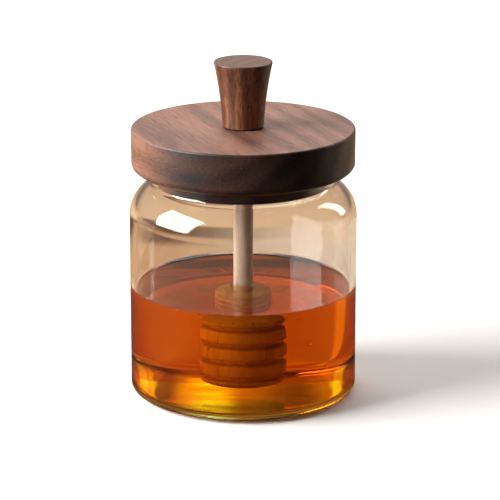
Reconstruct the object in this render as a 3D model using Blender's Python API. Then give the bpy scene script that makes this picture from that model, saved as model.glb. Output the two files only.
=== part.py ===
"""Honey pot: a clear glass jar of honey under a turned wooden lid, with the honey dipper that hangs from the lid.

Metres, +Z up, origin at the centre of the jar's foot. Every piece is a turned shape: its outline is worked out
as (radius, height) points from the axis round to the axis again, and spun about Z.
"""

import math

import bmesh
import bpy

# Clearance between pieces that touch in the real pot
GAP = 0.0003

# Jar: thin blown glass with a soft heel, a round shoulder and a short open neck
JAR_RADIUS = 0.045
JAR_WALL = 0.0025
HEEL_WIDTH = 0.0065
HEEL_HEIGHT = 0.0035
PUSH_UP_RADIUS = 0.028
PUSH_UP_HEIGHT = 0.001
FLOOR_Z = 0.003
SHOULDER_Z = 0.0725
SHOULDER_ROUND = 0.0145
NECK_RADIUS = 0.036
NECK_FILLET = 0.002
RIM_Z = 0.091

# Honey
HONEY_LEVEL_Z = 0.0437

# Lid: one disc with a plug below it that fills the neck, bored blind for the dipper's rod
LID_RADIUS = 0.0441
LID_THICKNESS = 0.0167
LID_LOWER_ROUND = 0.003
LID_UPPER_ROUND = 0.0007
PLUG_DEPTH = 0.0063
PLUG_CHAMFER = 0.001
BORE_DEPTH = 0.0123

# Knob: a flared cone
KNOB_FOOT_RADIUS = 0.0081
KNOB_TOP_RADIUS = 0.0115
KNOB_HEIGHT = 0.026
KNOB_EDGE = 0.0006
KNOB_STRAIGHTNESS = 0.4

# Dipper: a round rod with a ringed head
ROD_RADIUS = 0.0039
ROD_TOP_CHAMFER = 0.0005
HEAD_RADIUS = 0.0114
HEAD_BARREL = 0.0006
HEAD_CORE_RADIUS = 0.0085
HEAD_BOTTOM_Z = 0.0062
HEAD_TOP_Z = 0.0358
HEAD_DOME = 0.0026
GROOVE_COUNT = 4
GROOVE_WIDTH = 0.0019
GROOVE_PITCH = 0.0068
RING_EDGE = 0.0006

# Flats round each shape; both counts divide by four, so the widest points lie on X and Y
WIDE_FLATS = 48
SLIM_FLATS = 32

# Heights that follow from the sizes above
LID_Z = RIM_Z + GAP
KNOB_Z = LID_Z + LID_THICKNESS + GAP
ROD_TOP_Z = LID_Z - PLUG_DEPTH + BORE_DEPTH - GAP
JAR_INNER_RADIUS = JAR_RADIUS - JAR_WALL
NECK_INNER_RADIUS = NECK_RADIUS - JAR_WALL


def clear_scene():
    for existing in list(bpy.data.objects):
        bpy.data.objects.remove(existing, do_unlink=True)


def arc(centre, radii, start, end, steps):
    """Points on an ellipse about centre, from the angle start to the angle end in degrees."""
    points = []
    for i in range(steps + 1):
        angle = math.radians(start + (end - start) * i / steps)
        points.append((centre[0] + radii[0] * math.cos(angle), centre[1] + radii[1] * math.sin(angle)))
    return points


def make_material(name, colour, roughness, transmission=0.0, ior=1.5):
    material = bpy.data.materials.new(name)
    material.use_nodes = True
    shader = material.node_tree.nodes["Principled BSDF"]
    shader.inputs["Base Color"].default_value = (*colour, 1.0)
    shader.inputs["Roughness"].default_value = roughness
    shader.inputs["Metallic"].default_value = 0.0
    shader.inputs["Transmission Weight"].default_value = transmission
    shader.inputs["IOR"].default_value = ior
    return material


def turned(name, outline, base_z, flats, material, parent):
    """One closed solid spun about Z, from an outline that starts and ends on the axis, with its origin at base_z."""
    shape = bmesh.new()
    points = [shape.verts.new((radius, 0.0, height - base_z)) for radius, height in outline]
    edges = [shape.edges.new(pair) for pair in zip(points, points[1:])]
    bmesh.ops.spin(
        shape,
        geom=points + edges,
        cent=(0.0, 0.0, 0.0),
        axis=(0.0, 0.0, 1.0),
        angle=math.tau,
        steps=flats,
        use_merge=True,
    )
    bmesh.ops.remove_doubles(shape, verts=shape.verts, dist=0.000001)
    bmesh.ops.recalc_face_normals(shape, faces=shape.faces)
    mesh = bpy.data.meshes.new(name)
    shape.to_mesh(mesh)
    shape.free()
    mesh.shade_smooth()
    mesh.set_sharp_from_angle(angle=math.radians(35.0))
    mesh.materials.append(material)
    solid = bpy.data.objects.new(name, mesh)
    solid.parent = parent
    solid.location.z = base_z
    bpy.context.collection.objects.link(solid)
    return solid


def heel(outer_radius, width, floor_z, height, steps):
    """The quarter ellipse from a floor out to a wall."""
    return arc((outer_radius - width, floor_z + height), (width, height), -90, 0, steps)


def push_up(steps=5):
    """The shallow hollow under the foot, from its middle out to the ring that the jar stands on."""
    points = []
    for i in range(steps + 1):
        share = i / steps
        points.append((PUSH_UP_RADIUS * share, PUSH_UP_HEIGHT * (1 + math.cos(math.pi * share)) / 2))
    return points


def jar_outline():
    shoulder = (JAR_RADIUS - SHOULDER_ROUND, SHOULDER_Z)
    across = NECK_RADIUS + NECK_FILLET - shoulder[0]
    up = math.sqrt((SHOULDER_ROUND + NECK_FILLET) ** 2 - across**2)
    fillet = (shoulder[0] + across, shoulder[1] + up)
    lean = math.degrees(math.atan2(up, across))
    rim_round = JAR_WALL / 2
    inner_round = SHOULDER_ROUND - JAR_WALL
    inner_fillet = NECK_FILLET + JAR_WALL
    outside = (
        push_up()
        + heel(JAR_RADIUS, HEEL_WIDTH, 0.0, HEEL_HEIGHT, 6)
        + arc(shoulder, (SHOULDER_ROUND, SHOULDER_ROUND), 0, lean, 7)
        + arc(fillet, (NECK_FILLET, NECK_FILLET), 180 + lean, 180, 3)[1:]
    )
    rim = arc((NECK_RADIUS - rim_round, RIM_Z - rim_round), (rim_round, rim_round), 0, 180, 6)
    inside = (
        arc(fillet, (inner_fillet, inner_fillet), 180, 180 + lean, 3)
        + arc(shoulder, (inner_round, inner_round), lean, 0, 6)[1:]
        + heel(JAR_INNER_RADIUS, HEEL_WIDTH - JAR_WALL, FLOOR_Z, HEEL_HEIGHT, 5)[::-1]
    )
    return outside + rim + inside + [(0.0, FLOOR_Z)]


def head_radius(height):
    """The head is a slight barrel, fullest half-way up."""
    middle = (HEAD_BOTTOM_Z + HEAD_TOP_Z) / 2
    share = (height - middle) / (HEAD_TOP_Z - middle)
    return HEAD_RADIUS - HEAD_BARREL * share**2


def head_outline(grow, edge):
    """The ringed head from the bottom up to the rod, all faces moved out by grow and the rings' edges cut by edge."""
    low_z = HEAD_BOTTOM_Z + HEAD_DOME
    high_z = HEAD_TOP_Z - HEAD_DOME
    low_radii = (head_radius(low_z) + grow, HEAD_DOME + grow)
    high_radii = (head_radius(high_z) + grow, HEAD_DOME + grow)
    rod_angle = math.degrees(math.acos((ROD_RADIUS + grow) / high_radii[0]))
    points = arc((0.0, low_z), low_radii, -90, 0, 5)
    core = HEAD_CORE_RADIUS + grow
    first = (HEAD_BOTTOM_Z + HEAD_TOP_Z) / 2 - GROOVE_PITCH * (GROOVE_COUNT - 1) / 2
    for i in range(GROOVE_COUNT):
        middle = first + GROOVE_PITCH * i
        half = GROOVE_WIDTH / 2 - grow
        radius = head_radius(middle) + grow
        lower, upper = middle - half, middle + half
        if edge:
            points += [(radius, lower - edge), (radius - edge, lower)]
        else:
            points += [(radius, lower)]
        points += [(core, lower), (core, upper)]
        if edge:
            points += [(radius - edge, upper), (radius, upper + edge)]
        else:
            points += [(radius, upper)]
    return points + arc((0.0, high_z), high_radii, 0, rod_angle, 4)


def dipper_outline():
    rod = [
        (ROD_RADIUS, ROD_TOP_Z - ROD_TOP_CHAMFER),
        (ROD_RADIUS - ROD_TOP_CHAMFER, ROD_TOP_Z),
        (0.0, ROD_TOP_Z),
    ]
    return head_outline(0.0, RING_EDGE) + rod


def honey_outline():
    """The honey fills the jar to its level, with room in it for the dipper, open round the rod."""
    width = HEEL_WIDTH - JAR_WALL - GAP
    wall = heel(JAR_INNER_RADIUS - GAP, width, FLOOR_Z + GAP, HEEL_HEIGHT, 5)
    surface = [(JAR_INNER_RADIUS - GAP, HONEY_LEVEL_Z), (ROD_RADIUS + GAP, HONEY_LEVEL_Z)]
    return [(0.0, FLOOR_Z + GAP)] + wall + surface + head_outline(GAP, 0.0)[::-1]


def lid_outline():
    bore_radius = ROD_RADIUS + GAP
    plug_radius = NECK_INNER_RADIUS - GAP
    plug_z = LID_Z - PLUG_DEPTH
    top_z = LID_Z + LID_THICKNESS
    lower = (LID_RADIUS - LID_LOWER_ROUND, LID_Z + LID_LOWER_ROUND)
    upper = (LID_RADIUS - LID_UPPER_ROUND, top_z - LID_UPPER_ROUND)
    return (
        [(0.0, plug_z + BORE_DEPTH), (bore_radius, plug_z + BORE_DEPTH), (bore_radius, plug_z)]
        + [(plug_radius - PLUG_CHAMFER, plug_z), (plug_radius, plug_z + PLUG_CHAMFER), (plug_radius, LID_Z)]
        + arc(lower, (LID_LOWER_ROUND, LID_LOWER_ROUND), -90, 0, 5)
        + arc(upper, (LID_UPPER_ROUND, LID_UPPER_ROUND), 0, 90, 3)
        + [(0.0, top_z)]
    )


def knob_radius(share):
    """The knob's side is a slightly hollow cone; share is 0 at its foot and 1 at its top."""
    flare = KNOB_STRAIGHTNESS * share + (1 - KNOB_STRAIGHTNESS) * share**2
    return KNOB_FOOT_RADIUS + (KNOB_TOP_RADIUS - KNOB_FOOT_RADIUS) * flare


def knob_outline(steps=7):
    points = [(0.0, KNOB_Z), (KNOB_FOOT_RADIUS - KNOB_EDGE / 2, KNOB_Z)]
    side_z = KNOB_Z + KNOB_EDGE / 2
    side_height = KNOB_HEIGHT - KNOB_EDGE * 1.5
    for i in range(steps + 1):
        points.append((knob_radius(i / steps), side_z + side_height * i / steps))
    edge = (KNOB_TOP_RADIUS - KNOB_EDGE, side_z + side_height)
    points += arc(edge, (KNOB_EDGE, KNOB_EDGE), 0, 90, 3)[1:]
    return points + [(0.0, KNOB_Z + KNOB_HEIGHT)]


clear_scene()

pot = bpy.data.objects.new("honey_pot", None)
bpy.context.collection.objects.link(pot)

clear_glass = make_material("clear_glass", (0.95, 0.95, 0.93), 0.02, transmission=1.0, ior=1.5)
amber_honey = make_material("amber_honey", (0.72, 0.24, 0.01), 0.05, transmission=0.9, ior=1.49)
pale_beech = make_material("pale_beech", (0.62, 0.40, 0.24), 0.5)
dark_walnut = make_material("dark_walnut", (0.16, 0.075, 0.045), 0.45)
knob_walnut = make_material("knob_walnut", (0.20, 0.08, 0.04), 0.4)

turned("jar", jar_outline(), 0.0, WIDE_FLATS, clear_glass, pot)
turned("honey", honey_outline(), FLOOR_Z, WIDE_FLATS, amber_honey, pot)
turned("dipper", dipper_outline(), HEAD_BOTTOM_Z, SLIM_FLATS, pale_beech, pot)
turned("lid", lid_outline(), LID_Z, WIDE_FLATS, dark_walnut, pot)
turned("knob", knob_outline(), KNOB_Z, SLIM_FLATS, knob_walnut, pot)
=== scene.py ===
import math
import random

import bpy
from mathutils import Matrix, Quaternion, Vector


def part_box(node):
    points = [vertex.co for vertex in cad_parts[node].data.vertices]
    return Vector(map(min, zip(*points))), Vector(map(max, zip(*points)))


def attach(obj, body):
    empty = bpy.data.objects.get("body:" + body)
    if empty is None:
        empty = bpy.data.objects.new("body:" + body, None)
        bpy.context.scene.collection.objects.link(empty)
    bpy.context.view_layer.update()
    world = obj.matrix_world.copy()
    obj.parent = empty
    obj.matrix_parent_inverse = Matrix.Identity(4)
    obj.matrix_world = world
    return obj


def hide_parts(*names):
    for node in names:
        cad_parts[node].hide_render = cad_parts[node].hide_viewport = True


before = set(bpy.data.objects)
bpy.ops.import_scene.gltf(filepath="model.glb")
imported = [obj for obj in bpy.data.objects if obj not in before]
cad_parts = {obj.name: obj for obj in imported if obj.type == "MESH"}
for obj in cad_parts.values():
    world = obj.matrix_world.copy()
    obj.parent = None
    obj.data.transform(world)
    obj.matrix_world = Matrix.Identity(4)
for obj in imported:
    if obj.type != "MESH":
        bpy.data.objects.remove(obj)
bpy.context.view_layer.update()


# The jar
# Clear blown glass: an even wall with a soft heel, a shallow push-up under the foot, a round shoulder and a
# short neck with a fire-polished rim. Its outline is drawn out of one disc, ring by ring.

def arc(centre, radii, start, end, steps):
    """Outline points on an ellipse about centre, from the angle start to the angle end in degrees."""
    angles = [math.radians(start + (end - start) * i / steps) for i in range(steps + 1)]
    return [(centre[0] + radii[0] * math.cos(a), centre[1] + radii[1] * math.sin(a)) for a in angles]


def draw_out(name, outline, sides):
    """A closed turned piece: a disc at the outline's first point, drawn out through the others."""
    sharpest = 38
    bpy.ops.object.select_all(action="DESELECT")
    radius, height = outline[0]
    start = (0, 0, height)
    bpy.ops.mesh.primitive_circle_add(vertices=sides, radius=radius, fill_type="NGON", location=start)
    piece = bpy.context.object
    piece.name = piece.data.name = name
    bpy.ops.object.transform_apply(location=True, rotation=False, scale=False)
    bpy.ops.object.mode_set(mode="EDIT")
    bpy.ops.mesh.select_all(action="SELECT")
    for next_radius, next_height in outline[1:]:
        bpy.ops.mesh.extrude_region_move(TRANSFORM_OT_translate={"value": (0, 0, next_height - height)})
        stretch = next_radius / radius
        bpy.ops.transform.resize(value=(stretch, stretch, 1))
        radius, height = next_radius, next_height
    bpy.ops.mesh.select_all(action="SELECT")
    bpy.ops.mesh.normals_make_consistent(inside=False)
    bpy.ops.object.mode_set(mode="OBJECT")
    bpy.ops.object.shade_smooth_by_angle(angle=math.radians(sharpest))
    return piece


def new_material(name):
    """A material with one Principled shader; gives the material, its nodes' tree and the shader."""
    material = bpy.data.materials.new(name)
    material.use_nodes = True
    return material, material.node_tree, material.node_tree.nodes["Principled BSDF"]


def own_place(tree):
    """Where a point lies in its own piece, in metres."""
    return tree.nodes.new("ShaderNodeTexCoord").outputs["Object"]


def feed(tree, value, socket):
    """Sets a socket to a number or a colour, or joins another node's output to it."""
    if isinstance(value, bpy.types.NodeSocket):
        tree.links.new(value, socket)
    elif isinstance(value, tuple):
        socket.default_value = (*value, 1)
    else:
        socket.default_value = value


def noise(tree, vector, scale, detail, roughness=0.5, distortion=0.0):
    """Soft random mottling, read at a vector."""
    texture = tree.nodes.new("ShaderNodeTexNoise")
    feed(tree, vector, texture.inputs["Vector"])
    feed(tree, scale, texture.inputs["Scale"])
    texture.inputs["Detail"].default_value = detail
    texture.inputs["Roughness"].default_value = roughness
    texture.inputs["Distortion"].default_value = distortion
    return texture.outputs["Fac"]


def ramped(tree, value, start, end, low=0.0, high=1.0, eased=True):
    """Low where the value is at start, high where it is at end, and a way between them elsewhere."""
    ramp = tree.nodes.new("ShaderNodeMapRange")
    ramp.interpolation_type = "SMOOTHSTEP" if eased else "LINEAR"
    for name, number in (("From Min", start), ("From Max", end), ("To Min", low), ("To Max", high)):
        ramp.inputs[name].default_value = number
    tree.links.new(value, ramp.inputs["Value"])
    return ramp.outputs["Result"]


def bumped(tree, shader, height, strength, distance):
    """Tilts a shader's normal by the slopes of a height."""
    bump = tree.nodes.new("ShaderNodeBump")
    bump.inputs["Strength"].default_value = strength
    bump.inputs["Distance"].default_value = distance
    tree.links.new(height, bump.inputs["Height"])
    tree.links.new(bump.outputs["Normal"], shader.inputs["Normal"])


pole = 0.002
jar_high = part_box("jar")[1]
jar_radius, rim_z = jar_high.x, jar_high.z
wall = 0.0025
heel_width, heel_height = 0.0065, 0.0035
push_up_radius, push_up_height = 0.028, 0.0004
floor_z, floor_flat_radius = 0.003, 0.0373
shoulder_z, shoulder_round = 0.0725, 0.0145
neck_radius, neck_fillet = 0.036, 0.002
honey_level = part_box("honey")[1].z
wall_climb = 0.0005
wet_z = honey_level + wall_climb


def jar_outline():
    """The push-up under the foot, up the outside, over the rim, down the inside and across the floor."""
    middle = (jar_radius - shoulder_round, shoulder_z)
    across = neck_radius + neck_fillet - middle[0]
    up = math.sqrt((shoulder_round + neck_fillet) ** 2 - across**2)
    fillet = (middle[0] + across, middle[1] + up)
    lean = math.degrees(math.atan2(up, across))
    lip = wall / 2
    heel = (jar_radius - heel_width, heel_height)
    inner_width = heel_width - wall
    push_up = [(pole, push_up_height)]
    for i in range(2, 13):
        share = i / 12
        push_up.append((push_up_radius * share, push_up_height * (1 + math.cos(math.pi * share)) / 2))
    outside = (
        arc(heel, (heel_width, heel_height), -90, 0, 16)
        + arc(middle, (shoulder_round, shoulder_round), 0, lean, 20)
        + arc(fillet, (neck_fillet, neck_fillet), 180 + lean, 180, 6)[1:]
    )
    rim = arc((neck_radius - lip, rim_z - lip), (lip, lip), 0, 180, 12)
    inside = (
        arc(fillet, (neck_fillet + wall, neck_fillet + wall), 180, 180 + lean, 8)
        + arc(middle, (shoulder_round - wall, shoulder_round - wall), lean, 0, 18)[1:]
        + [(jar_radius - wall, wet_z)]
        + arc((heel[0], floor_z + heel_height), (inner_width, heel_height), 0, -90, 14)
    )
    return push_up + outside + rim + inside + [(floor_flat_radius, floor_z), (pole, floor_z)]


jar = draw_out("glass_jar", jar_outline(), 160)


def blown_glass(name, glare):
    """Clear glass, a touch uneven as blown glass is, with a few faint smears from handling."""
    material, tree, shader = new_material(name)
    place = own_place(tree)
    waves = noise(tree, place, scale=38, detail=0.5)
    bumped(tree, shader, waves, strength=0.12, distance=0.0006)
    smears = noise(tree, place, scale=55, detail=5)
    haze = ramped(tree, smears, 0.58, 0.78, 0.0, 0.05, eased=False)
    tree.links.new(haze, shader.inputs["Roughness"])
    shader.inputs["Base Color"].default_value = (0.99, 0.99, 0.98, 1)
    shader.inputs["Transmission Weight"].default_value = 1.0
    shader.inputs["IOR"].default_value = 1.5
    shader.inputs["Specular Tint"].default_value = (glare, glare, glare, 1)
    return material


jar.data.materials.append(blown_glass("blown clear glass", 1.0))
jar.data.materials.append(blown_glass("glass wetted by honey", 0.0))
slack = 0.0001
for face in jar.data.polygons:
    inside = math.hypot(face.center.x, face.center.y) < jar_radius - wall + slack
    if inside and floor_z - slack < face.center.z < wet_z:
        face.material_index = 1
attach(jar, "root")
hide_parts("jar")


# The dipper
# One piece of pale beech turned on a lathe: a round rod whose top end sits in the lid's bore, and a ringed
# head, a slight barrel with rounded ends. Its grain runs along the rod.

dipper_low, dipper_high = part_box("dipper")
rod_radius, rod_chamfer = 0.0039, 0.0005
head_low, head_high = dipper_low.z, 0.0358
head_radius, head_barrel, head_core, head_dome = 0.0114, 0.0006, 0.0085, 0.0026
groove_count, groove_width, groove_pitch = 4, 0.0019, 0.0068
ring_edge = 0.0006


def head_outline(shrink):
    """The ringed head from its lower pole to the rod, every face moved in by shrink."""
    middle = (head_low + head_high) / 2

    def radius_at(height):
        return head_radius - head_barrel * ((height - middle) / (head_high - middle)) ** 2 - shrink

    low_z, high_z = head_low + head_dome, head_high - head_dome
    dome = head_dome - shrink
    core = head_core - shrink
    points = [p for p in arc((0, low_z), (radius_at(low_z), dome), -90, 0, 14) if p[0] > pole / 2]
    for i in range(groove_count):
        groove_z = middle + groove_pitch * (i - (groove_count - 1) / 2)
        lower, upper = groove_z - groove_width / 2 - shrink, groove_z + groove_width / 2 + shrink
        shoulder = radius_at(groove_z) - ring_edge
        foot = groove_width / 5
        points += arc((shoulder, lower - ring_edge), (ring_edge, ring_edge), 0, 90, 4)
        points += arc((core + foot, lower + foot), (foot, foot), 270, 180, 3)
        points += arc((core + foot, upper - foot), (foot, foot), 180, 90, 3)
        points += arc((shoulder, upper + ring_edge), (ring_edge, ring_edge), -90, 0, 4)
    stop = math.degrees(math.acos((rod_radius - shrink) / radius_at(high_z)))
    return points + arc((0, high_z), (radius_at(high_z), dome), 0, stop, 10)


rod_end = [
    (rod_radius, dipper_high.z - rod_chamfer),
    (rod_radius - rod_chamfer, dipper_high.z),
    (rod_radius / 2, dipper_high.z),
]
dipper = draw_out("dipper_beech", head_outline(0.0) + rod_end, 96)


def combined(tree, operation, first, second):
    """Two values put through one maths operation."""
    maths = tree.nodes.new("ShaderNodeMath")
    maths.operation = operation
    feed(tree, first, maths.inputs[0])
    feed(tree, second, maths.inputs[1])
    return maths.outputs["Value"]


def mixed(tree, factor, first, second):
    """The first colour where the factor is zero and the second where it is one."""
    mix = tree.nodes.new("ShaderNodeMix")
    mix.data_type = "RGBA"
    for name, value in (("Factor", factor), ("A", first), ("B", second)):
        feed(tree, value, mix.inputs[name])
    return mix.outputs["Result"]


def wood_grain_group():
    """Solid wood, its grain along X: rings, long fibres, slow patches, open pores and darker end grain."""
    group = bpy.data.node_groups.new("wood grain", "ShaderNodeTree")
    face = group.interface
    face.new_socket("Vector", in_out="INPUT", socket_type="NodeSocketVector")
    for name in ("Ring Scale", "Fibre Scale", "Ring Share", "Pore Share"):
        face.new_socket(name, in_out="INPUT", socket_type="NodeSocketFloat")
    face.new_socket("Along", in_out="INPUT", socket_type="NodeSocketVector")
    for name in ("Pale", "Middle", "Dark", "End"):
        face.new_socket(name, in_out="INPUT", socket_type="NodeSocketColor")
    face.new_socket("Color", in_out="OUTPUT", socket_type="NodeSocketColor")
    face.new_socket("Tone", in_out="OUTPUT", socket_type="NodeSocketFloat")
    face.new_socket("Height", in_out="OUTPUT", socket_type="NodeSocketFloat")
    nodes, links = group.nodes, group.links
    given = nodes.new("NodeGroupInput")
    result = nodes.new("NodeGroupOutput")

    def stretched(scale):
        mapping = nodes.new("ShaderNodeMapping")
        mapping.inputs["Scale"].default_value = scale
        links.new(given.outputs["Vector"], mapping.inputs["Vector"])
        return mapping.outputs["Vector"]

    rings = nodes.new("ShaderNodeTexWave")
    rings.wave_type, rings.rings_direction = "RINGS", "X"
    rings.inputs["Distortion"].default_value = 3.2
    rings.inputs["Detail"].default_value = 3.0
    rings.inputs["Detail Scale"].default_value = 0.7
    rings.inputs["Detail Roughness"].default_value = 0.6
    links.new(stretched((0.22, 1, 1)), rings.inputs["Vector"])
    links.new(given.outputs["Ring Scale"], rings.inputs["Scale"])
    fibre_weight, patch_weight, pore_weight = 0.6, 0.4, 0.5
    ring_share = given.outputs["Ring Share"]
    rest = combined(group, "SUBTRACT", 1.0, ring_share)
    fibres = noise(group, stretched((0.065, 1, 1)), given.outputs["Fibre Scale"], 4.0, 0.7)
    patches = noise(group, stretched((0.25, 1, 1)), 70.0, 2.0)
    ring_part = combined(group, "MULTIPLY", rings.outputs["Fac"], ring_share)
    fibre_part = combined(group, "MULTIPLY", combined(group, "MULTIPLY", fibres, rest), fibre_weight)
    patch_part = combined(group, "MULTIPLY", combined(group, "MULTIPLY", patches, rest), patch_weight)
    grain = combined(group, "ADD", ring_part, combined(group, "ADD", fibre_part, patch_part))
    pores = ramped(group, noise(group, stretched((0.07, 1, 1)), 1900.0, 1.0), 0.60, 0.70, eased=False)
    pores = combined(group, "MULTIPLY", pores, given.outputs["Pore Share"])
    shaded = combined(group, "SUBTRACT", grain, combined(group, "MULTIPLY", pores, pore_weight))
    tone = ramped(group, shaded, 0.33, 0.67, eased=False)
    lower = ramped(group, tone, 0.0, 0.5, eased=False)
    upper = ramped(group, tone, 0.5, 1.0, eased=False)
    deep = mixed(group, lower, given.outputs["Dark"], given.outputs["Middle"])
    flank = mixed(group, upper, deep, given.outputs["Pale"])
    facing = nodes.new("ShaderNodeNewGeometry")
    across = nodes.new("ShaderNodeVectorMath")
    across.operation = "DOT_PRODUCT"
    links.new(facing.outputs["Normal"], across.inputs[0])
    links.new(given.outputs["Along"], across.inputs[1])
    cut = ramped(group, combined(group, "ABSOLUTE", across.outputs["Value"], 0.0), 0.0, 0.62)
    end = given.outputs["End"]
    end_grain = mixed(group, 0.42, end, mixed(group, tone, end, given.outputs["Middle"]))
    links.new(mixed(group, cut, flank, end_grain), result.inputs["Color"])
    links.new(tone, result.inputs["Tone"])
    links.new(combined(group, "SUBTRACT", grain, pores), result.inputs["Height"])
    return group


wood_grain = wood_grain_group()


def turned_wood(name, place, turn, along, ring_scale, fibre_scale, shares, colours, gloss, relief):
    """A wood finish: the pith's place, the grain's turn, its spacings, colours, gloss range and relief."""
    material, tree, shader = new_material(name)
    nodes, links = tree.nodes, tree.links
    mapping = nodes.new("ShaderNodeMapping")
    mapping.inputs["Location"].default_value = place
    mapping.inputs["Rotation"].default_value = [math.radians(a) for a in turn]
    grain = nodes.new("ShaderNodeGroup")
    grain.node_tree = wood_grain
    grain.inputs["Ring Scale"].default_value = ring_scale
    grain.inputs["Fibre Scale"].default_value = fibre_scale
    grain.inputs["Ring Share"].default_value, grain.inputs["Pore Share"].default_value = shares
    grain.inputs["Along"].default_value = along
    for socket, colour in zip(("Pale", "Middle", "Dark", "End"), colours):
        grain.inputs[socket].default_value = (*colour, 1)
    links.new(own_place(tree), mapping.inputs["Vector"])
    links.new(mapping.outputs["Vector"], grain.inputs["Vector"])
    links.new(grain.outputs["Color"], shader.inputs["Base Color"])
    shine = ramped(tree, grain.outputs["Tone"], 0.0, 1.0, *gloss, eased=False)
    links.new(shine, shader.inputs["Roughness"])
    bumped(tree, shader, grain.outputs["Height"], strength=relief, distance=0.0002)
    return material


dipper.data.materials.append(
    turned_wood(
        "pale beech",
        place=(0, 0.03, 0.02),
        turn=(0, 90, 0),
        along=(0, 0, 1),
        ring_scale=90,
        fibre_scale=1500,
        shares=(0.1, 0.25),
        colours=((0.87, 0.68, 0.52), (0.79, 0.59, 0.44), (0.60, 0.41, 0.28), (0.50, 0.33, 0.21)),
        gloss=(0.55, 0.42),
        relief=0.25,
    )
)
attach(dipper, "root")
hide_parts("dipper")


# The honey
# Clear amber honey, poured in round the dipper's head. It wets the glass and the rod, so its surface turns
# up a little at both, and it holds a few tiny air bubbles, most of them caught on the head's top ring.

bite = 0.0003
wall_reach, wall_span = 0.0009, 0.008
rod_climb, rod_reach, rod_span = 0.0006, 0.0009, 0.004


def honey_outline():
    """Out along the floor, up the wall, across the surface to the rod and down round the dipper's head."""
    outer = jar_radius - wall + bite
    heel = (jar_radius - heel_width, floor_z + heel_height)
    heel_radii = (heel_width - wall + bite, heel_height + bite)
    side = [(pole, floor_z - bite)] + arc(heel, heel_radii, -90, 0, 14)
    surface = []
    for i in range(11):
        off = wall_span * (i / 10) ** 2
        climb = wall_climb * math.exp(-max(off - bite, 0) / wall_reach)
        surface.append((outer - off, honey_level + climb))
    for i in range(9):
        off = rod_span * (1 - i / 8) ** 2
        into_rod = bite if i == 8 else 0
        surface.append((rod_radius + off - into_rod, honey_level + rod_climb * math.exp(-off / rod_reach)))
    return side + surface + head_outline(bite)[::-1]


honey = draw_out("honey_fill", honey_outline(), 160)

caught_bubbles, loose_bubbles = 16, 12
bubble_radii = (0.00016, 0.00042)
top_ring_z, top_ring_spread = 0.0338, 0.0016
loose_reaches, loose_heights = (0.014, 0.038), (0.012, 0.041)


def add_bubbles(piece):
    """Tiny air bubbles, each a round hollow in the honey: its skin faces into the bubble."""
    draw = random.Random(11)
    places = []
    for i in range(caught_bubbles):
        angle = math.radians(draw.uniform(0, 360))
        radius = head_radius - top_ring_spread / 2 + draw.uniform(0, top_ring_spread)
        places.append((radius, angle, top_ring_z + draw.uniform(0, top_ring_spread)))
    for i in range(loose_bubbles):
        angle = math.radians(draw.uniform(0, 360))
        places.append((draw.uniform(*loose_reaches), angle, draw.uniform(*loose_heights)))
    bubbles = []
    for radius, angle, height in places:
        bpy.ops.mesh.primitive_ico_sphere_add(
            subdivisions=3,
            radius=draw.uniform(*bubble_radii),
            location=(radius * math.cos(angle), radius * math.sin(angle), height),
        )
        bubbles.append(bpy.context.object)
    bpy.ops.object.select_all(action="DESELECT")
    for bubble in bubbles:
        bubble.select_set(True)
    bpy.context.view_layer.objects.active = bubbles[0]
    bpy.ops.object.join()
    bpy.ops.object.mode_set(mode="EDIT")
    bpy.ops.mesh.select_all(action="SELECT")
    bpy.ops.mesh.flip_normals()
    bpy.ops.object.mode_set(mode="OBJECT")
    bpy.ops.object.shade_smooth()
    piece.select_set(True)
    bpy.context.view_layer.objects.active = piece
    bpy.ops.object.join()


add_bubbles(honey)


def amber_honey():
    """Clear amber: it takes out blue within millimetres, green over the jar's width, red hardly at all."""
    material, tree, shader = new_material("clear amber honey")
    swirl = noise(tree, own_place(tree), scale=26, detail=1.0, distortion=0.6)
    bumped(tree, shader, swirl, strength=0.06, distance=0.0006)
    shader.inputs["Base Color"].default_value = (1.0, 0.98, 0.92, 1)
    shader.inputs["Roughness"].default_value = 0.0
    shader.inputs["Specular Tint"].default_value = (0.0, 0.0, 0.0, 1)
    shader.inputs["Transmission Weight"].default_value = 1.0
    shader.inputs["IOR"].default_value = 1.49
    amber = tree.nodes.new("ShaderNodeVolumeAbsorption")
    amber.inputs["Color"].default_value = (0.97, 0.775, 0.05, 1)
    amber.inputs["Density"].default_value = 110
    tree.links.new(amber.outputs["Volume"], tree.nodes["Material Output"].inputs["Volume"])
    return material


honey.data.materials.clear()
honey.data.materials.append(amber_honey())
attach(honey, "root")
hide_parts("honey")


# The lid
# A thick disc of dark oiled walnut, turned from one plank laid flat, with a plug below that drops into the
# jar's neck and a blind bore for the dipper's rod. The lower edge is well rounded, the upper one only eased.

lid_low, lid_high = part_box("lid")
lid_radius, lid_top = lid_high.x, lid_high.z
gap = 0.0003
lid_under = rim_z + gap
lower_round, upper_round = 0.003, 0.0009
flat_edge, lid_middle = 0.0006, 0.02
plug_radius, plug_chamfer, plug_corner = neck_radius - wall - gap, 0.001, 0.0003
bore_radius, bore_end, bore_chamfer = rod_radius + gap, dipper_high.z + gap, 0.0004
lid_grain_turn = 23


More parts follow.
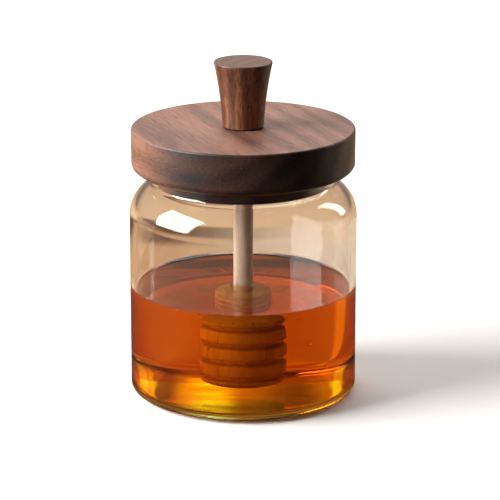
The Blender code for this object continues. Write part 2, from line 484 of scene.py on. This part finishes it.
def lid_outline():
    """Down the bore, out under the plug and up it, out under the disc, round its edge and over its top."""
    plug = (plug_radius - plug_chamfer, lid_low.z + plug_chamfer)
    lower = (lid_radius - lower_round, lid_under + lower_round)
    upper = (lid_radius - upper_round, lid_top - upper_round)
    return (
        [(bore_radius * 0.5, bore_end), (bore_radius * 0.9, bore_end), (bore_radius, bore_end)]
        + [(bore_radius, lid_low.z + bore_chamfer), (bore_radius + bore_chamfer, lid_low.z)]
        + arc(plug, (plug_chamfer, plug_chamfer), -90, 0, 5)
        + [(plug_radius, lid_under - plug_corner), (plug_radius + plug_corner, lid_under)]
        + arc(lower, (lower_round, lower_round), -90, 0, 14)
        + arc(upper, (upper_round, upper_round), 0, 90, 8)
        + [(lid_radius - upper_round - flat_edge, lid_top), (lid_middle, lid_top), (pole, lid_top)]
    )


lid = draw_out("lid_walnut", lid_outline(), 192)
lid.data.materials.append(
    turned_wood(
        "dark walnut plank",
        place=(0.01, 0.03, -0.125),
        turn=(0, 0, 90 - lid_grain_turn),
        along=(math.sin(math.radians(lid_grain_turn)), -math.cos(math.radians(lid_grain_turn)), 0),
        ring_scale=34,
        fibre_scale=1200,
        shares=(0.14, 0.3),
        colours=((0.29, 0.150, 0.108), (0.20, 0.090, 0.060), (0.095, 0.038, 0.026), (0.011, 0.006, 0.005)),
        gloss=(0.5, 0.36),
        relief=0.35,
    )
)
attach(lid, "root")
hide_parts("lid")


# The knob
# A flared cone of the same dark wood with its grain upright, slightly hollow down its side, the top edge
# just eased, fixed to the middle of the lid.

knob_low, knob_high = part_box("knob")
knob_foot, knob_top = 0.0081, knob_high.x
knob_edge, knob_flat_edge = 0.0006, 0.0004


def knob_outline():
    """Out under the knob, up its hollow flare and in over its top."""
    points = [(pole, knob_low.z), (knob_foot - knob_edge / 2, knob_low.z)]
    side_low, side_high = knob_low.z + knob_edge / 2, knob_high.z - knob_edge
    for i in range(25):
        share = i / 24
        flare = 0.4 * share + 0.6 * share**2
        radius = knob_foot + (knob_top - knob_foot) * flare
        points.append((radius, side_low + (side_high - side_low) * share))
    points += arc((knob_top - knob_edge, side_high), (knob_edge, knob_edge), 0, 90, 6)[1:]
    return points + [(knob_top - knob_edge - knob_flat_edge, knob_high.z), (pole, knob_high.z)]


knob = draw_out("knob_walnut", knob_outline(), 128)
knob.data.materials.append(
    turned_wood(
        "upright walnut",
        place=(0, 0.012, 0.016),
        turn=(0, 90, 0),
        along=(0, 0, 1),
        ring_scale=62,
        fibre_scale=1000,
        shares=(0.15, 0.35),
        colours=((0.34, 0.130, 0.052), (0.130, 0.042, 0.017), (0.030, 0.009, 0.004), (0.07, 0.030, 0.020)),
        gloss=(0.48, 0.34),
        relief=0.35,
    )
)
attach(knob, "root")
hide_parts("knob")


# The studio
# A plain pale floor, a large soft window light from the left, a narrow one from the right and a wide one
# behind. What the glass bends or mirrors sees a warm, dim room instead, its floor painted dark in front as
# painted shade, with a painted glow on the table where the honey's light would fall.

# The full pot is a lens: what lies past its focus shows with left and right swapped.
pot_focus = 0.056
widest = 3.0
ramp_room = 4.0


def seen_directly(tree):
    """One on what the camera sees with nothing between, zero on what is mirrored, bent or lit by bounces."""
    return tree.nodes.new("ShaderNodeLightPath").outputs["Is Camera Ray"]


def across_and_out(tree):
    """A point's place: X over its distance past the pot's focus, X, Y, and its reach from the pot's axis."""
    parts = tree.nodes.new("ShaderNodeSeparateXYZ")
    tree.links.new(own_place(tree), parts.inputs["Vector"])
    x, y = parts.outputs["X"], parts.outputs["Y"]
    flat = tree.nodes.new("ShaderNodeCombineXYZ")
    tree.links.new(x, flat.inputs["X"])
    tree.links.new(y, flat.inputs["Y"])
    reach = tree.nodes.new("ShaderNodeVectorMath")
    reach.operation = "LENGTH"
    tree.links.new(flat.outputs["Vector"], reach.inputs[0])
    across = combined(tree, "DIVIDE", x, combined(tree, "SUBTRACT", y, pot_focus))
    return across, x, y, reach.outputs["Value"]


def banded(tree, across, stops):
    """The stops' colours side by side over across, ramp_room times too weak, so that a ramp holds them."""
    ramp = tree.nodes.new("ShaderNodeValToRGB")
    bands = ramp.color_ramp.elements
    for stop, _ in stops[1:-1]:
        bands.new((stop + widest) / (2 * widest))
    for band, (_, colour) in zip(bands, stops):
        band.color = (*(part / ramp_room for part in colour), 1)
    share = combined(tree, "DIVIDE", combined(tree, "ADD", across, widest), 2 * widest)
    tree.links.new(share, ramp.inputs["Fac"])
    return ramp.outputs["Color"]


def dimmed(tree, colour, factor):
    """A colour times a value."""
    scale = tree.nodes.new("ShaderNodeVectorMath")
    scale.operation = "SCALE"
    tree.links.new(colour, scale.inputs[0])
    feed(tree, factor, scale.inputs["Scale"])
    return scale.outputs["Vector"]


def pale_floor():
    """Pale to the camera; through glass a tan table, painted dim in front as painted shade, with a painted
    glow round the pot where the honey's light would fall.
    """
    material, tree, shader = new_material("pale floor")
    across, x, y, reach = across_and_out(tree)
    # Seen through glass, the table's colour is painted dark in front and far out: painted shade standing in
    # for a dim room.
    dark = (0.045, 0.027, 0.018)
    rightwards = ramped(tree, x, -0.05, 0.06)
    near_tan = mixed(tree, rightwards, (0.34, 0.20, 0.10), (0.50, 0.40, 0.30))
    far_tan = mixed(tree, rightwards, (0.08, 0.036, 0.015), (0.55, 0.40, 0.27))
    tan = mixed(tree, ramped(tree, y, 0.198, 0.214), near_tan, far_tan)
    tan = mixed(tree, ramped(tree, y, 0.240, 0.252), tan, (0.46, 0.30, 0.17))
    tan = mixed(tree, ramped(tree, y, -0.10, 0.12), dark, tan)
    table = mixed(tree, ramped(tree, reach, 0.14, 0.18), dark, tan)
    shown = mixed(tree, seen_directly(tree), table, (0.88, 0.88, 0.87))
    tree.links.new(shown, shader.inputs["Base Color"])
    # Painted light, seen only through glass: the floor glows in bands round the pot, a bright stripe and a
    # lit side among them.
    side, lit, stripe = (0.46, 0.33, 0.20), (0.66, 0.52, 0.32), (1.02, 0.84, 0.50)
    stops = (
        (-widest, (0.40, 0.14, 0.10)),
        (-1.75, (0.44, 0.24, 0.15)),
        (-1.5, stripe),
        (-1.05, stripe),
        (-0.88, (0.6, 0.36, 0.22)),
        (-0.3, side),
        (-0.1, side),
        (0.3, lit),
        (1.0, (0.58, 0.38, 0.24)),
        (1.5, (0.54, 0.28, 0.20)),
        (widest, (0.5, 0.2, 0.15)),
    )
    around = dimmed(tree, banded(tree, across, stops), ramp_room)
    # A painted amber glow under the pot, brighter to the right: painted light in place of the light the
    # honey focuses onto the table.
    under = mixed(tree, ramped(tree, x, -0.03, 0.03), (0.36, 0.13, 0.015), (0.60, 0.20, 0.02))
    glow = mixed(tree, ramped(tree, reach, 0.046, 0.052), under, around)
    front = ramped(tree, y, -0.05, 0.0, 0.35, 1.0)
    outer = ramped(tree, reach, 0.165, 0.182, 1.0, 0.0)
    glow = dimmed(tree, glow, combined(tree, "MULTIPLY", front, outer))
    bent = tree.nodes.new("ShaderNodeLightPath").outputs["Is Transmission Ray"]
    tree.links.new(mixed(tree, bent, (0.0, 0.0, 0.0), glow), shader.inputs["Emission Color"])
    shader.inputs["Emission Strength"].default_value = 1.0
    shader.inputs["Roughness"].default_value = 0.8
    shader.inputs["Specular IOR Level"].default_value = 0.1
    return material


bpy.ops.mesh.primitive_plane_add(size=12, location=(0, 0, 0))
floor = bpy.context.object
floor.name = "studio_floor"
floor.data.materials.append(pale_floor())


def soft_light(name, azimuth, elevation, distance, size, power, colour):
    """An area light, seen from the pot at an azimuth (0 to the camera, 90 to the right) and elevation."""
    turn, rise = math.radians(azimuth), math.radians(elevation)
    aim = Vector((0, 0, 0.06))
    away = Vector((math.sin(turn) * math.cos(rise), -math.cos(turn) * math.cos(rise), math.sin(rise)))
    data = bpy.data.lights.new(name, "AREA")
    data.shape = "RECTANGLE"
    data.size, data.size_y = size
    data.energy = power
    data.color = colour
    lamp = bpy.data.objects.new(name, data)
    lamp.location = aim + away * distance
    lamp.rotation_mode = "QUATERNION"
    lamp.rotation_quaternion = (-away).to_track_quat("-Z", "Y")
    bpy.context.collection.objects.link(lamp)


soft_light("window_left", -77, 27, 1.3, (1.0, 1.0), 50, (1.0, 0.97, 0.94))
soft_light("window_right", 124, 30, 1.4, (0.2, 1.3), 5.5, (1.0, 0.97, 0.95))
soft_light("window_behind", -172, 46, 1.6, (1.5, 0.9), 15, (1.0, 0.98, 0.96))


def glow_paint():
    """A glowing underside, painted light in the colours that the foot mirrors up through the honey; its top
    is clear.
    """
    material = bpy.data.materials.new("glow ring")
    material.use_nodes = True
    tree = material.node_tree
    across, _, _, reach = across_and_out(tree)
    # Painted reflections in glowing colours: dull and dark bands, and a bright stripe, pane and window
    # standing in for lit windows that the foot would mirror.
    dull, warm, dark = (0.48, 0.40, 0.20), (1.4, 1.3, 0.5), (0.50, 0.48, 0.20)
    stripe, pane, gold, window = (4.0, 7.0, 1.8), (2.2, 3.5, 1.0), (1.8, 2.4, 0.8), (3.4, 5.0, 1.4)
    stops = (
        (-widest, (0.9, 0.5, 0.3)),
        (-1.85, (1.0, 0.8, 0.4)),
        (-1.6, stripe),
        (-1.1, stripe),
        (-0.95, warm),
        (-0.73, warm),
        (-0.33, dull),
        (-0.16, (0.58, 0.58, 0.25)),
        (0.0, (1.3, 1.3, 0.5)),
        (0.13, gold),
        (0.35, gold),
        (0.52, dark),
        (0.95, dark),
        (1.03, pane),
        (1.27, pane),
        (1.3, warm),
        (1.42, window),
        (2.6, window),
        (widest, (1.6, 1.2, 0.5)),
    )
    tint = mixed(tree, ramped(tree, reach, 0.066, 0.088), (1.5, 0.66, 1.0), (1.0, 1.0, 1.0))
    tint = mixed(tree, ramped(tree, reach, 0.116, 0.122), tint, (0.75, 0.17, 0.05))
    tinted = tree.nodes.new("ShaderNodeVectorMath")
    tinted.operation = "MULTIPLY"
    tree.links.new(banded(tree, across, stops), tinted.inputs[0])
    tree.links.new(tint, tinted.inputs[1])
    seen_left = ramped(tree, across, 0.0, 0.25)
    near = combined(tree, "MAXIMUM", ramped(tree, reach, 0.086, 0.096, 0.6, 1.0), seen_left)
    dim = combined(tree, "MULTIPLY", near, ramped(tree, reach, 0.100, 0.114, 1.0, 0.65))
    # A painted bright spot: a painted highlight for a glint of focused light in the golden base.
    wide = combined(tree, "MULTIPLY", ramped(tree, across, 0.0, 0.13), ramped(tree, across, 0.36, 0.19))
    deep = combined(tree, "MULTIPLY", ramped(tree, reach, 0.089, 0.097), ramped(tree, reach, 0.110, 0.099))
    spot = combined(tree, "MULTIPLY", wide, deep)
    glow = tree.nodes.new("ShaderNodeEmission")
    bands = dimmed(tree, tinted.outputs["Vector"], dim)
    tree.links.new(mixed(tree, spot, bands, (1.4, 2.6, 0.7)), glow.inputs["Color"])
    glow.inputs["Strength"].default_value = ramp_room
    clear = tree.nodes.new("ShaderNodeBsdfTransparent")
    facing = tree.nodes.new("ShaderNodeNewGeometry")
    sides = tree.nodes.new("ShaderNodeMixShader")
    tree.links.new(facing.outputs["Backfacing"], sides.inputs["Fac"])
    tree.links.new(clear.outputs["BSDF"], sides.inputs[1])
    tree.links.new(glow.outputs["Emission"], sides.inputs[2])
    tree.links.new(sides.outputs["Shader"], tree.nodes["Material Output"].inputs["Surface"])
    return material


def glow_ring(inner, outer, height):
    """A low flat ring of painted light round the pot that lights nothing: only the foot mirrors it, into the
    golden base.
    """
    bpy.ops.object.select_all(action="DESELECT")
    bpy.ops.mesh.primitive_circle_add(vertices=96, radius=inner, location=(0, 0, height))
    ring = bpy.context.object
    ring.name = "glow_ring"
    bpy.ops.object.transform_apply(location=True, rotation=False, scale=False)
    bpy.ops.object.mode_set(mode="EDIT")
    bpy.ops.mesh.select_all(action="SELECT")
    bpy.ops.mesh.extrude_region_move(TRANSFORM_OT_translate={"value": (0, 0, 0)})
    bpy.ops.transform.resize(value=(outer / inner, outer / inner, 1))
    bpy.ops.mesh.select_all(action="SELECT")
    bpy.ops.mesh.normals_make_consistent(inside=False)
    bpy.ops.object.mode_set(mode="OBJECT")
    if ring.data.polygons[0].normal.z < 0:
        ring.data.flip_normals()
    ring.data.materials.append(glow_paint())
    ring.visible_camera = ring.visible_diffuse = ring.visible_glossy = ring.visible_shadow = False


glow_ring(inner=0.056, outer=0.16, height=0.0285)


def studio_world():
    """Near white where it is seen directly; elsewhere warm behind the pot, grey above and dim in front."""
    world = bpy.data.worlds.new("studio")
    bpy.context.scene.world = world
    world.use_nodes = True
    tree = world.node_tree
    direction = tree.nodes.new("ShaderNodeTexCoord")
    parts = tree.nodes.new("ShaderNodeSeparateXYZ")
    tree.links.new(direction.outputs["Generated"], parts.inputs["Vector"])
    backwards, upwards = parts.outputs["Y"], parts.outputs["Z"]
    around = mixed(tree, ramped(tree, backwards, 0.0, 0.95), (0.020, 0.018, 0.017), (0.25, 0.19, 0.16))
    room = mixed(tree, ramped(tree, upwards, 0.5, 1.0), around, (0.16, 0.16, 0.165))
    low = combined(tree, "MULTIPLY", ramped(tree, upwards, 0.14, 0.22), ramped(tree, upwards, 0.42, 0.34))
    behind = combined(tree, "MULTIPLY", ramped(tree, backwards, 0.84, 0.92), low)
    room = mixed(tree, behind, room, (0.74, 0.39, 0.26))
    backdrop = mixed(tree, seen_directly(tree), room, (0.93, 0.93, 0.93))
    tree.links.new(backdrop, tree.nodes["Background"].inputs["Color"])


studio_world()

camera_data = bpy.data.cameras.new("camera")
camera_data.lens = 190.9
camera_data.sensor_width = 36
camera = bpy.data.objects.new("camera", camera_data)
bpy.context.collection.objects.link(camera)
camera.location = (0, -1.0095, 0.3625)
look_at = Vector((0.0027, 0, 0.0574))
roll = math.radians(0.05)
camera.rotation_mode = "QUATERNION"
aimed = (look_at - camera.location).to_track_quat("-Z", "Y")
camera.rotation_quaternion = aimed @ Quaternion((0, 0, 1), roll)
bpy.context.scene.camera = camera
bpy.context.scene.view_settings.view_transform = "Standard"
